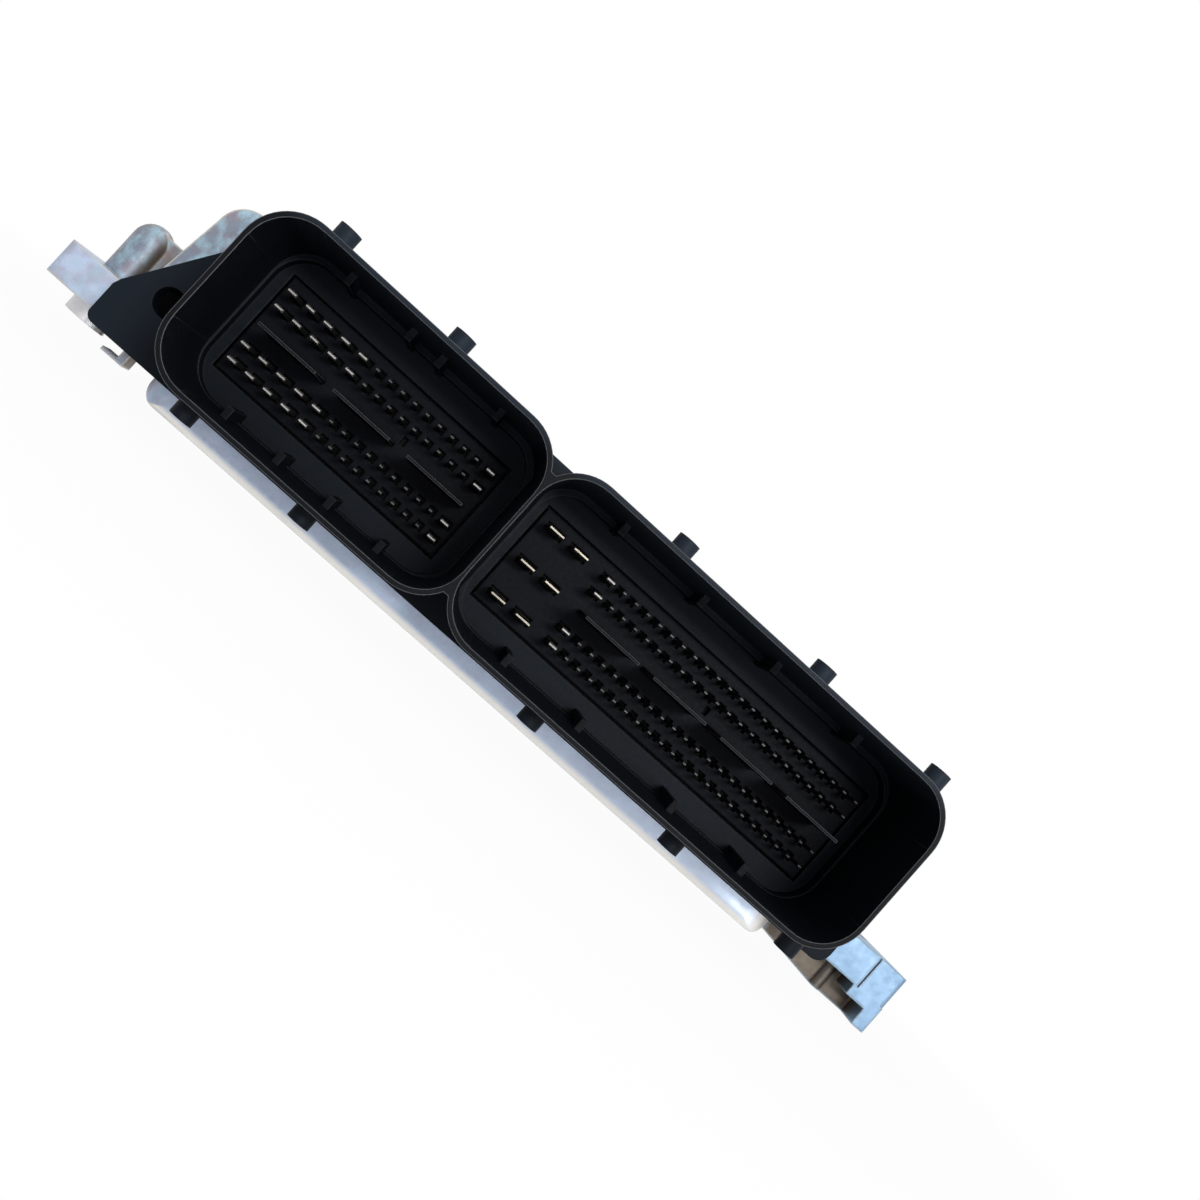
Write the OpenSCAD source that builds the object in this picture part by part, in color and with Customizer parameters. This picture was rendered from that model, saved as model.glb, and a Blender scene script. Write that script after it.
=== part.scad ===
// Engine control unit: a cast aluminium housing with a two-socket connector header.
// Millimetres. X runs along the header, the sockets face -Y, Z is up and the base rests on Z = 0.
// Inside the modules, y counts from the socket rims towards the rear wall.
// The pin rows set the length of the header, and the housing closes round the header.

/* [Housing] */
// overall depth from the socket rims to the rear wall
total_d = 140; // [124:1:160]
// thickness of the cast walls
cast_wall = 3; // [2.6:0.1:3.4]
// thickness of the body's side walls at the parting plane
side_wall = 5; // [4.8:0.1:5.6]
// lean of the cover's side walls, from the parting plane to the top
side_draft = 2.7; // [2:0.1:3.2]
// room beside the header's tongue
room_margin = 2.4; // [2:0.1:3]
// height of the parting plane between base and cover
parting_z = 11.8; // [10.8:0.1:13]
// radius of the cover's long top edges
cover_edge_r = 5; // [3:0.5:6]
// radius of the body's rear corners in plan
body_corner_r = 9; // [8:0.5:14]
// thickness of the tub's side walls
tub_wall = 4; // [3:0.1:5]
// radius of the tub's lower edges
tub_edge_r = 4; // [2:0.5:4.5]
// radius of the tub's corners in plan
tub_corner_r = 5.5; // [3:0.5:6]
// shift of the tub along the header
tub_x = -0.9; // [-1.4:0.1:1.4]
// radius of the tub's lower front edge
tub_front_r = 1.6; // [1:0.1:2.4]
// height of the flange's underside above the resting face
flange_under_z = 5.4; // [4.8:0.1:6]
// height of the ledge that carries the circuit board
board_ledge_z = 8; // [7.2:0.1:8.8]
// width of that ledge below the board
board_seat = 9; // [8:0.1:11]
// depth of the shallow fields below the tub
recess_d = 0.8; // [0.4:0.1:1.2]
// width of the ribs between those fields, across and along
recess_ribs = [8, 10];
// number of cooling fins on the cover
fin_count = 11; // [5:2:11]
// distance between cooling fins
fin_step = 12; // [8:0.5:13]
// thickness of a cooling fin
fin_t = 2; // [1.6:0.1:3]
// height of the fins above the cover
fin_h = 3.2; // [2:0.1:4]

/* [Feet and screws] */
// reach of the mounting feet beyond the body
foot_reach = 12.4; // [11.5:0.1:14]
// length of the front and of the rear feet along Y
foot_len = [27.2, 28];
// distance of the mounting holes from the body's side
bolt_out = 6.9; // [6.2:0.1:7.6]
// distance of a mounting hole from its foot's inner end
bolt_in = 8; // [7:0.5:10]
// diameter of the mounting holes
bolt_d = 6.4; // [5.5:0.1:7]
// distance of the cover screws from the body's side
screw_out = 4.8; // [4.6:0.1:5.2]
// diameter of the cover screws
screw_d = 4; // [3:0.1:4.2]
// diameter of the cover screws' heads
screw_head_d = 7.4; // [6.5:0.1:7.8]
// height of the cover screws' heads
screw_head_h = 2.6; // [2:0.1:3.2]
// radius of the round-topped screw bosses
boss_r = 3.5; // [3.3:0.1:3.8]
// height of the boss tops above the resting face
boss_top_z = 22.7; // [21:0.1:24]
// radius of the base's ears below the bosses
ear_r = 5.4; // [4.8:0.1:6]

/* [Header] */
// height of the pin field's middle above the circuit board
pin_lift = 11.6; // [11.2:0.1:13]
// depth of the sockets from the rim to the floor
socket_depth = 25; // [22:0.5:28]
// outer height of the socket walls
shroud_h = 31.1; // [29:0.1:33]
// height of the socket's middle above the pin field's middle
shroud_up = 0.45; // [0:0.05:0.6]
// outer corner radius of the sockets
shroud_r = 8; // [6:0.5:9]
// thickness of the socket walls at the rims
shroud_wall = 0.8; // [0.7:0.1:1.2]
// growth of that thickness from the rims to the ledge
wall_draft = 0.7; // [0.2:0.1:0.8]
// thickness of the wall between the sockets at the rims
partition_t = 0.55; // [0.5:0.05:1]
// shift of the sockets along the housing
header_x = 0.4; // [0:0.1:0.6]
// width of the ledge at the ends of a socket floor, from the wall at the rims
ledge_w = 1.1; // [0.8:0.1:1.4]
// half the height of the socket floors, from the pin field's middle
floor_half = 13.4; // [13:0.1:13.6]
// height of that ledge above the socket floor
ledge_h = 3; // [1:0.5:4]
// thickness of the header's flange
flange_t = 6; // [5.6:0.1:7]
// reach of the flange beyond the sockets on the right
flange_out = 8.8; // [7:0.1:10]
// corner radius of the flange on the right
flange_r = 2.5; // [2:0.5:4]
// reach of the vent ear beyond the sockets on the left
ear_out = 15; // [14:0.1:15.4]
// height of the coding ribs above the socket floor
rib_h = 12; // [8:0.5:14]
// reach of the coding ribs beyond the rim's inner edge
rib_reach = 2.4; // [1.6:0.1:2.4]
// thickness of the coding ribs
rib_t = 1.1; // [0.8:0.1:1.4]
// diameter of the locking pegs
peg_d = 3.8; // [3.2:0.1:4.4]
// reach of the locking pegs beyond the socket walls
peg_reach = 2.75; // [2:0.05:3.2]
// distance of the locking pegs from the rims
peg_y = 8; // [6:0.5:12]
// diameter of the vent opening in the ear
vent_d = 5.2; // [4:0.1:5.6]
// diameter of the narrow bore behind the vent opening
vent_bore_d = 2; // [1.5:0.1:2.3]
// width of the header's neck beyond the sockets
neck_margin = 2.4; // [2:0.1:3]
// length of the neck behind the flange
neck_len = 8; // [7.4:0.1:9]
// width of the neck's tongue that holds the header in the housing
tongue_w = 3.5; // [3:0.1:4]

/* [Pins] */
// length of the pins above the socket floor
pin_reach = 7.5; // [6:0.5:10]
// pitch of the signal pins
pin_pitch = 2.5; // [2.2:0.05:2.8]
// pitch of the wide pins
wide_pitch = 3.5; // [3.1:0.05:3.9]
// pitch of the power blades along X
blade_pitch = 5.05; // [4.5:0.05:5.6]
// signal pins in a row of the small socket
signals_60 = 9; // [7:1:11]
// signal pins in a row of the large socket
signals_94 = 21; // [19:1:22]
// wide pins in a row, left of the small socket's signal pins
wides_60 = 5; // [4:1:6]
// from the last of these wide pins to the first signal pin
wide_gap_60 = 3; // [2.6:0.05:3.4]
// from the last signal pin to the wide pin at the row's right end
wide_gap_end = 2.85; // [2.6:0.05:3.3]
// from the wide pin of the large socket to its first signal pin
wide_gap_94 = 2.9; // [2.6:0.05:3.3]
// from the second power blade to that wide pin
blade_gap = 6.25; // [5.5:0.05:7]
// width and thickness of a signal pin
pin_s = 0.63; // [0.5:0.01:0.8]
// width of a wide pin
wide_w = 1.5; // [1.2:0.05:1.8]
// width of a power blade
blade_w = 2.8; // [2.4:0.1:3.2]
// thickness of a power blade
blade_t = 0.8; // [0.6:0.05:1]
// height of the outer pin rows from the field's middle
row_outer = 6.8; // [6.2:0.05:7.4]
// height of the inner pin rows from the field's middle
row_inner = 3.75; // [3.3:0.05:4.2]
// length of the pins' tapered tips
pin_tip = 0.8; // [0.5:0.1:1.2]

/* [Pin carriers] */
// from the small socket's rim to its carrier, left and right
floor_60 = [3.75, 4.8];
// from the large socket's rim to its carrier, left and right
floor_94 = [3.25, 3.8];
// from the ends of the small carrier to its outermost pins, left and right
end_60 = [3.12, 2.18];
// from the ends of the large carrier to its outermost pins, left and right
end_94 = [3.55, 3.7];
// half the height of the pin carriers
carrier_half = 9.55; // [9.2:0.05:10.6]
// height of the guide blades above the socket floor
guide_h = 14; // [10:0.5:16]
// thickness of the guide blades at the root and at the tip
guide_t = [0.8, 0.45];
// length of the guide blades
guide_len = 10.8; // [9:0.1:12]
// distance between guide blades in the small and in the large socket
guide_step = [14.3, 13.87];
// from the carrier's left end to the first guide blade, small and large
guide_start = [3.75, 14.95];
// clearance of the pins in their carriers
pin_fit = 0.02; // [0.01:0.01:0.05]
// width of the sunk rim round each pin
pin_sink = 0.45; // [0.3:0.05:0.5]
// depth of that sunk rim
pin_sink_d = 1.5; // [0.8:0.1:2]
// width of the groove round the pin carriers
groove_w = 0.5; // [0.4:0.05:0.8]
// depth of that groove
groove_d = 1.6; // [0.6:0.1:2]

/* [Electronics] */
// thickness of the circuit board
board_t = 1.6; // [1.4:0.1:1.8]
// thickness of the thermal pad below the board
pad_t = 0.7; // [0.5:0.1:1]
// diameter of the board screws
board_screw_d = 3; // [2.5:0.1:3.4]
// diameter of the board screws' heads
board_head_d = 5.6; // [5:0.1:6.2]

/* [Fits] */
// clearance of the header's neck in its window
neck_gap = 0.4; // [0.2:0.05:0.6]
// thickness of the header seal
seal_t = 0.8; // [0.6:0.1:1]
// width of the header seal's rim round the neck
seal_rim = 1.8; // [1.6:0.1:2]
// width of the housing seal
seal_w = 1.6; // [1.4:0.1:2]
// height of the housing seal
seal_h = 1; // [0.8:0.1:1.4]
// distance of the housing seal from the room
seal_in = 2; // [1.6:0.1:2.2]
// clearance of the pin carriers in the header
carrier_gap = 0.1; // [0.05:0.05:0.15]
// clearance of the screws in their holes
screw_gap = 0.1; // [0.05:0.05:0.2]
// clearance of the circuit board in the body
board_gap = 0.9; // [0.6:0.1:1]

/* [Hidden] */
$fn = 64;
eps = 0.02;

// heights, from the board up
board_top_z = board_ledge_z + board_t;
header_z = board_top_z + pin_lift;
shroud_mid_z = header_z + shroud_up;
shroud_z0 = shroud_mid_z - shroud_h / 2;
shroud_z1 = shroud_mid_z + shroud_h / 2;
flange_z0 = shroud_z0 - 1.8;
flange_z1 = shroud_z1 - 0.2;
neck_z0 = board_ledge_z + 0.3;
neck_z1 = header_z + carrier_half + 0.25;
neck_wall = 1.7;
window_z0 = board_ledge_z;
window_z1 = neck_z1 + neck_gap;
floor_z = cast_wall;
room_top_z = window_z1 + 0.1;
cover_top_z = room_top_z + cast_wall;
vent_z = header_z - 6.85;
row_z = [-row_outer, -row_inner, row_inner, row_outer];
blade_row_z = [-row_outer, 0, row_outer];

// places along X, from the pin rows outwards
len_60 = floor_60[0] + end_60[0] + (wides_60 - 1) * wide_pitch + wide_gap_60
  + (signals_60 - 1) * pin_pitch + wide_gap_end + end_60[1] + floor_60[1];
len_94 = floor_94[0] + end_94[0] + blade_pitch + blade_gap + wide_gap_94
  + (signals_94 - 1) * pin_pitch + end_94[1] + floor_94[1];
shroud_half = (len_60 + len_94) / 2;
socket_x0 = header_x - shroud_half;
socket_x1 = header_x + shroud_half;
split_x = socket_x0 + len_60;
share = shroud_wall - partition_t / 2;
field_60 = [socket_x0 + floor_60[0], split_x - floor_60[1]];
field_94 = [split_x + floor_94[0], socket_x1 - floor_94[1]];
first_wide_60 = field_60[0] + end_60[0];
first_60 = first_wide_60 + (wides_60 - 1) * wide_pitch + wide_gap_60;
signal_x_60 = [for (i = [0:signals_60 - 1]) first_60 + i * pin_pitch];
wide_x_60 = concat([for (i = [0:wides_60 - 1]) first_wide_60 + i * wide_pitch], [field_60[1] - end_60[1]]);
blade_x = [field_94[0] + end_94[0], field_94[0] + end_94[0] + blade_pitch];
wide_x_94 = [blade_x[1] + blade_gap];
first_94 = wide_x_94[0] + wide_gap_94;
signal_x_94 = [for (i = [0:signals_94 - 1]) first_94 + i * pin_pitch];
guide_x_60 = [for (i = [0:2]) field_60[0] + guide_start[0] + i * guide_step[0]];
guide_x_94 = [for (i = [0:3]) field_94[0] + guide_start[1] + i * guide_step[1]];
neck_half = shroud_half + neck_margin;
tongue_half = neck_half + tongue_w;
window_half = neck_half + neck_gap;
room_w = 2 * (tongue_half + room_margin);
body_w = room_w + 2 * side_wall;
body_top_w = body_w - 2 * side_draft;
feet_half = body_w / 2 + foot_reach;
bolt_x = body_w / 2 + bolt_out;
screw_x = body_w / 2 + screw_out;
vent_x = socket_x0 - 6.8;
board_half = room_w / 2 - board_gap;
tub_room_w = 2 * (board_half - board_seat);
tub_w = tub_room_w + 2 * tub_wall;
web_x = tub_x + tub_w / 2 - 1.5;

// middles of the locking pegs, counted from each socket's left rim
peg_x = concat([for (x = [9.1, 31.1]) socket_x0 + x], [for (x = [21.8, 50.2, 74.4]) split_x + x]);
// middles of the coding ribs below and above the pins, counted from each socket's left rim
ribs_60 = [[12.5, 22.4, 32.15, 41.95], [12.65, 24.5, 30.35, 42]];
ribs_94 = [[13.85, 28.95, 48.05, 63], [13.85, 30.25, 45.7, 63]];

// places along Y, from the rims back
flange_y = socket_depth - 1;
flange_back_y = flange_y + flange_t;
front_y = flange_back_y + seal_t;
room_y0 = front_y + cast_wall;
room_y1 = total_d - cast_wall;
room_r = body_corner_r - cast_wall;
neck_y1 = flange_back_y + neck_len;
tip_y = socket_depth - pin_reach;
ledge_y = socket_depth - ledge_h;
membrane_y = flange_back_y - 1.4;
board_y0 = neck_y1 + 3.5;
board_y1 = room_y1 - board_gap;
row_bend = [for (d = [2, 5, 8, 11]) board_y0 + d];
blade_bend = [for (d = [2, 6.5, 11]) board_y0 + d];
tub_room_y1 = room_y1 - 4.5;
tub_y1 = total_d - 4;
foot_front_y = front_y;
foot_rear_y = total_d - 8 - foot_len[1];
bolt_front_y = foot_front_y + foot_len[0] - bolt_in;
bolt_rear_y = foot_rear_y + bolt_in;
boss_rear_y = total_d - 15;
boss_left_y = front_y + 7.2;
boss_right_y = bolt_front_y + 16;
left_boss_y = [boss_left_y, (boss_left_y + boss_rear_y) / 2, boss_rear_y];
right_boss_y = [boss_right_y, (boss_right_y + boss_rear_y) / 2, boss_rear_y];
boss_places = concat([for (y = left_boss_y) [-screw_x, y]], [for (y = right_boss_y) [screw_x, y]]);
bolt_places = [for (y = [bolt_front_y, bolt_rear_y], s = [-1, 1]) [s * bolt_x, y]];
board_screw_places = [for (s = [-1, 1], y = [board_y0 + 18.5, board_y1 - 8]) [s * (board_half - 4), y]];
plateau = [-34, board_y0 + 24.5, 68, 38];
fin_y0 = front_y + 33;
fin_y1 = total_d - 7;

// columns of components near the board's sides, and rows near its rear edge
left_x = 9.5 - board_half;
right_x = board_half - 11.5;
rear_y = board_y1 - 10;

// leaning sides of the cover, with the round edges a hair outside the straight stretches
wall_slope = side_draft / (cover_top_z - parting_z);
wall_lean = atan(wall_slope);
edge_z = cover_top_z - cover_edge_r;
edge_x = body_top_w / 2 + cover_edge_r * wall_slope - cover_edge_r / cos(wall_lean);
edge_sink = 0.04;

// moves a module from rim-based y to the middle of the whole
module place() {
  translate([0, -total_d / 2, 0]) children();
}

// extrudes an X-Z drawing from y0 to y1
module along_y(y0, y1) {
  translate([0, y1, 0]) rotate([90, 0, 0]) linear_extrude(y1 - y0) children();
}

// extrudes a Y-Z drawing from x0 to x1
module along_x(x0, x1) {
  translate([x0, 0, 0]) rotate([90, 0, 90]) linear_extrude(x1 - x0) children();
}

// extrudes an X-Y drawing from z0 to z1
module along_z(z0, z1) {
  translate([0, 0, z0]) linear_extrude(z1 - z0) children();
}

// rectangle between two corners with rounded corners
module round_rect(x0, x1, y0, y1, r) {
  translate([x0 + r, y0]) square([x1 - x0 - 2 * r, y1 - y0]);
  translate([x0, y0 + r]) square([x1 - x0, y1 - y0 - 2 * r]);
  for (x = [x0 + r, x1 - r], y = [y0 + r, y1 - r]) {
    translate([x, y]) circle(r);
  }
}

// rectangle between two corners
module rect(x0, x1, y0, y1) {
  translate([x0, y0]) square([x1 - x0, y1 - y0]);
}

// plan of the body: square at the front, rounded at the rear
module plan(w, y0, y1, r) {
  rect(-w / 2, w / 2, y0, y1 - r);
  rect(-w / 2 + r, w / 2 - r, y0, y1);
  for (s = [-1, 1]) {
    translate([s * (w / 2 - r), y1 - r]) circle(r);
  }
}

// upright cylinder between two heights
module post(p, d, z0, z1) {
  translate([p[0], p[1], z0]) cylinder(d = d, h = z1 - z0);
}

// front outline of the cover: leaning sides and round top edges
module cover_outline() {
  cs = cos(wall_lean) * (cover_edge_r - edge_sink);
  sn = sin(wall_lean) * (cover_edge_r - edge_sink);
  polygon([
    [-body_w / 2, parting_z], [body_w / 2, parting_z], [edge_x + cs, edge_z + sn],
    [edge_x, cover_top_z], [-edge_x, cover_top_z], [-edge_x - cs, edge_z + sn]
  ]);
  for (s = [-1, 1]) {
    translate([s * edge_x, edge_z]) circle(cover_edge_r);
  }
}

// front outline of the tub: round lower edges
module tub_outline() {
  x0 = tub_x - tub_w / 2;
  x1 = tub_x + tub_w / 2;
  rect(x0, x1, tub_edge_r, flange_under_z + eps);
  rect(x0 + tub_edge_r, x1 - tub_edge_r, 0, flange_under_z + eps);
  for (x = [x0 + tub_edge_r, x1 - tub_edge_r]) {
    translate([x, tub_edge_r]) circle(tub_edge_r);
  }
}

// side outline of the tub: round front edge
module tub_side() {
  rect(front_y + tub_front_r, tub_y1, 0, flange_under_z + eps);
  rect(front_y, front_y + tub_front_r + eps, tub_front_r, flange_under_z + eps);
  translate([front_y + tub_front_r, tub_front_r]) circle(tub_front_r);
}

// plan of the tub: round corners
module tub_plan() {
  round_rect(tub_x - tub_w / 2, tub_x + tub_w / 2, front_y, tub_y1, tub_corner_r);
}

// ear of the base below a cover screw
module base_ear(p) {
  root_x = sign(p[0]) * (body_w / 2 - 1);
  along_z(flange_under_z, parting_z) {
    translate(p) circle(ear_r);
    rect(min(p[0], root_x), max(p[0], root_x), p[1] - ear_r, p[1] + ear_r);
  }
}

// mounting feet of both sides, from y over the length l
module feet(y, l) {
  for (s = [-1, 1]) {
    x0 = min(s * (body_w / 2 - 4), s * feet_half);
    x1 = max(s * (body_w / 2 - 4), s * feet_half);
    along_z(flange_under_z, parting_z) round_rect(x0, x1, y, y + l, 1.2);
  }
}

// lower front of the right foot: stop leg, step and slanted web with a round post
module right_foot_front() {
  leg_y = foot_front_y + 8.5;
  web_y = foot_front_y + 6.5;
  leg_x = feet_half - 2.9;
  step_x = feet_half - 7.1;
  post_x = feet_half - 9.6;
  top_z = flange_under_z + eps;
  along_y(foot_front_y, leg_y) rect(leg_x, feet_half - 0.3, 0, top_z);
  along_y(foot_front_y, leg_y) rect(step_x, leg_x + eps, 3.3, top_z);
  along_y(web_y, web_y + 5.5) polygon([
    [web_x, 2], [post_x - 1.2, 0], [leg_x + eps, 0], [leg_x + eps, top_z], [web_x, top_z]
  ]);
  along_z(0, top_z) translate([post_x, web_y]) circle(1.1);
}

// joint line on the front of the right foot
module right_foot_line() {
  along_y(foot_front_y - 1, foot_front_y + 0.5) {
    rect(feet_half - 6.4, feet_half - 6.1, flange_under_z, parting_z + 1);
  }
}

// small hooked stop below the left front foot
module left_foot_stop() {
  x0 = 2.5 - body_w / 2;
  along_y(foot_front_y + 9, foot_front_y + 14) {
    rect(x0, x0 + 1.5, 1, flange_under_z + eps);
    rect(x0 - 3, x0 + 0.1, 1, 1.7);
  }
}

// shallow fields below the tub: three across and two along, with ribs between them
module tub_recesses() {
  edge = 6.5 - tub_w / 2;
  y0 = front_y + 13.2;
  w = (-2 * edge - 2 * recess_ribs[0]) / 3;
  l = (total_d - 14 - y0 - recess_ribs[1]) / 2;
  for (i = [0:2], j = [0:1]) {
    x0 = tub_x + edge + i * (w + recess_ribs[0]);
    translate([x0, y0 + j * (l + recess_ribs[1]), -1]) cube([w, l, 1 + recess_d]);
  }
}

// cut that closes the housing round the header's neck
module neck_window() {
  along_y(front_y - 1, room_y0 + 1) {
    rect(-window_half, window_half, window_z0, window_z1);
  }
}

module housing_base() {
  color("silver") place() difference() {
    union() {
      intersection() {
        along_y(front_y - 1, total_d) tub_outline();
        along_x(-tub_w, tub_w) tub_side();
        along_z(-1, flange_under_z + 1) tub_plan();
      }
      along_z(flange_under_z, parting_z) plan(body_w, front_y, total_d, body_corner_r);
      feet(foot_front_y, foot_len[0]);
      feet(foot_rear_y, foot_len[1]);
      for (p = boss_places) {
        base_ear(p);
      }
      right_foot_front();
      left_foot_stop();
    }
    // room for the electronics, with the ledge for the board and the heat plateau left standing
    difference() {
      along_z(floor_z, board_ledge_z + eps) plan(tub_room_w, room_y0, tub_room_y1, room_r);
      translate([plateau[0], plateau[1], 0]) cube([plateau[2], plateau[3], board_ledge_z - pad_t]);
    }
    along_z(board_ledge_z, parting_z + 1) plan(room_w, room_y0, room_y1, room_r);
    neck_window();
    // groove of the housing seal
    along_z(parting_z - seal_h, parting_z + 1) seal_loop(0);
    for (p = bolt_places) {
      post(p, bolt_d, flange_under_z - 1, parting_z + 1);
    }
    for (p = boss_places) {
      post(p, screw_d + 2 * screw_gap, flange_under_z - 1, parting_z + 1);
    }
    for (p = board_screw_places) {
      post(p, board_screw_d + 2 * screw_gap, board_ledge_z - 2, board_ledge_z + 1);
    }
    right_foot_line();
    tub_recesses();
  }
}

// loop of the seal between base and cover, made smaller by gap on both sides
module seal_loop(gap) {
  w = room_w + 2 * seal_in;
  difference() {
    plan(w + 2 * (seal_w - gap), room_y0, room_y1 + 0.4 + seal_w - gap, room_r + 1.8 - gap);
    plan(w + 2 * gap, room_y0 - 1, room_y1 + 0.4 + gap, room_r + 0.2 + gap);
  }
}

// round-topped boss of the cover with its web to the side wall
module cover_boss(p) {
  root_x = sign(p[0]) * (body_top_w / 2 - 1);
  translate([p[0], p[1], parting_z]) rotate_extrude() {
    rect(0, boss_r, 0, boss_top_z - boss_r - parting_z);
    intersection() {
      translate([0, boss_top_z - boss_r - parting_z]) circle(boss_r);
      rect(0, boss_r + 1, 0, boss_top_z);
    }
  }
  along_y(p[1] - 2, p[1] + 2) {
    rect(min(p[0], root_x), max(p[0], root_x), parting_z, boss_top_z - 0.7);
  }
}

module housing_cover() {
  color("gainsboro") place() difference() {
    union() {
      intersection() {
        along_y(front_y, total_d + 1) cover_outline();
        along_z(0, cover_top_z + 1) plan(body_w + 2, front_y - 1, total_d, body_corner_r);
      }
      for (p = boss_places) {
        cover_boss(p);
      }
      for (i = [0:fin_count - 1]) {
        x = (i - (fin_count - 1) / 2) * fin_step;
        along_z(cover_top_z - 0.5, cover_top_z + fin_h) {
          round_rect(x - fin_t / 2, x + fin_t / 2, fin_y0, fin_y1, 0.35 * fin_t);
        }
      }
    }
    along_z(parting_z - 1, room_top_z) plan(room_w, room_y0, room_y1, room_r);
    neck_window();
    for (p = boss_places) {
      post(p, screw_d + 2 * screw_gap, parting_z - 1, boss_top_z - boss_r);
    }
    along_y(front_y - 1, room_y0 + 1) translate([vent_x, vent_z]) circle(d = vent_bore_d + 0.4);
  }
}

// outer outline of one socket
module socket_outline(x0, x1) {
  round_rect(x0, x1, shroud_z0, shroud_z1, shroud_r);
}

// outline of the header's flange with the vent ear on the left
module flange_outline() {
  x0 = socket_x0 - ear_out;
  x1 = socket_x1 + flange_out;
  side_x = socket_x0 - 5.8;
  toe_r = 1.5;
  polygon([
    [side_x + shroud_r, flange_z1], [side_x, flange_z1 - shroud_r], [side_x, header_z + 5],
    [x0 + 0.5, header_z - 8.9], [x0, header_z - 10.2], [x0, flange_z0 + toe_r], [x0 + toe_r, flange_z0],
    [x1 - flange_r, flange_z0], [x1, flange_z0 + flange_r], [x1, flange_z1 - flange_r],
    [x1 - flange_r, flange_z1]
  ]);
  translate([side_x + shroud_r, flange_z1 - shroud_r]) circle(shroud_r);
  for (z = [flange_z0 + flange_r, flange_z1 - flange_r]) {
    translate([x1 - flange_r, z]) circle(flange_r);
  }
  translate([x0 + toe_r, flange_z0 + toe_r]) circle(toe_r);
}

// coding ribs on both long walls of a socket; x0 is the socket's left rim
module coding_ribs(x0, list) {
  root = shroud_wall / 2;
  tip = shroud_wall + rib_reach;
  left = x0 - rib_t / 2;
  along_y(socket_depth - rib_h, socket_depth + eps) {
    for (x = list[0]) {
      rect(left + x, left + x + rib_t, shroud_z0 + root, shroud_z0 + tip);
    }
    for (x = list[1]) {
      rect(left + x, left + x + rib_t, shroud_z1 - tip, shroud_z1 - root);
    }
  }
}

// room of a socket from the rims to the ledge, narrowing with the draft of its walls; the round
// corners stay a hair inside the straight stretches
module socket_room(x0, x1) {
  start = -0.5;
  grow = wall_draft / ledge_y;
  out = shroud_wall + grow * start;
  in = shroud_wall + wall_draft;
  along_x(x0 + shroud_r, x1 - shroud_r) polygon([
    [start, shroud_z0 + out], [ledge_y, shroud_z0 + in], [ledge_y, shroud_z1 - in], [start, shroud_z1 - out]
  ]);
  along_z(shroud_z0 + shroud_r, shroud_z1 - shroud_r) polygon([
    [x0 + out, start], [x0 + in, ledge_y], [x1 - in, ledge_y], [x1 - out, start]
  ]);
  for (x = [x0 + shroud_r, x1 - shroud_r], z = [shroud_z0 + shroud_r, shroud_z1 - shroud_r]) {
    translate([x, start, z]) rotate([-90, 0, 0]) {
      cylinder(r1 = shroud_r - out - edge_sink, r2 = shroud_r - in - edge_sink, h = ledge_y - start);
    }
  }
}

// outline of a socket floor inside its ledge, centred on the pin field
module floor_outline(x0, x1) {
  g = shroud_wall + ledge_w;
  round_rect(x0 + g, x1 - g, header_z - floor_half, header_z + floor_half, shroud_r - g);
}

// wedges that thicken the wall between the sockets towards the floor
module partition_wedges() {
  a = partition_t / 2;
  b = shroud_wall + wall_draft;
  along_z(shroud_z0 + 0.56 * shroud_r, shroud_z1 - 0.56 * shroud_r) {
    polygon([
      [split_x - a, 0.5], [split_x + a, 0.5], [split_x + b, ledge_y + eps], [split_x - b, ledge_y + eps]
    ]);
  }
}

// webs that fill the narrow ends of the notches between the sockets
module notch_webs() {
  near = 0.52 * shroud_r;
  far = 0.78 * shroud_r;
  along_y(0, flange_y + 1) {
    rect(split_x - 0.45, split_x + 0.45, shroud_z0 + near, shroud_z0 + far);
    rect(split_x - 0.45, split_x + 0.45, shroud_z1 - far, shroud_z1 - near);
  }
}

module connector_header() {
  color([0.1, 0.11, 0.13]) place() union() {
    difference() {
      union() {
        along_y(0, flange_y + 1) socket_outline(socket_x0, split_x + share);
        along_y(0, flange_y + 1) socket_outline(split_x - share, socket_x1);
        along_y(flange_y, flange_back_y) flange_outline();
        along_y(flange_back_y - eps, neck_y1) rect(-neck_half, neck_half, neck_z0, neck_z1);
        along_y(room_y0 + 0.4, room_y0 + 2.4) rect(-tongue_half, tongue_half, neck_z0 + 1, neck_z1 - 1);
        notch_webs();
        for (x = peg_x) {
          post([x, peg_y], peg_d, shroud_z1 - shroud_wall / 2, shroud_z1 + peg_reach);
          post([x, peg_y], peg_d, shroud_z0 - peg_reach, shroud_z0 + shroud_wall / 2);
        }
      }
      // sockets down to the ledge, then down to the floor
      socket_room(socket_x0, split_x + share);
      socket_room(split_x - share, socket_x1);
      along_y(ledge_y - 1, socket_depth) floor_outline(socket_x0, split_x);
      along_y(ledge_y - 1, socket_depth) floor_outline(split_x, socket_x1);
      // windows of the pin carriers, then the hollow behind them
      for (f = [field_60, field_94]) {
        along_y(socket_depth - 1, flange_back_y) {
          rect(f[0], f[1], header_z - carrier_half, header_z + carrier_half);
        }
      }
      along_y(flange_back_y - eps, neck_y1 + 1) {
        rect(neck_wall - neck_half, neck_half - neck_wall, neck_z0 + neck_wall, neck_z1 - neck_wall);
      }
      // vent opening with its narrow bore
      along_y(flange_y - 1, membrane_y) translate([vent_x, vent_z]) circle(d = vent_d);
      along_y(flange_y, flange_back_y + 1) translate([vent_x, vent_z]) circle(d = vent_bore_d);
    }
    partition_wedges();
    coding_ribs(socket_x0, ribs_60);
    coding_ribs(split_x, ribs_94);
  }
}

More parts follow.
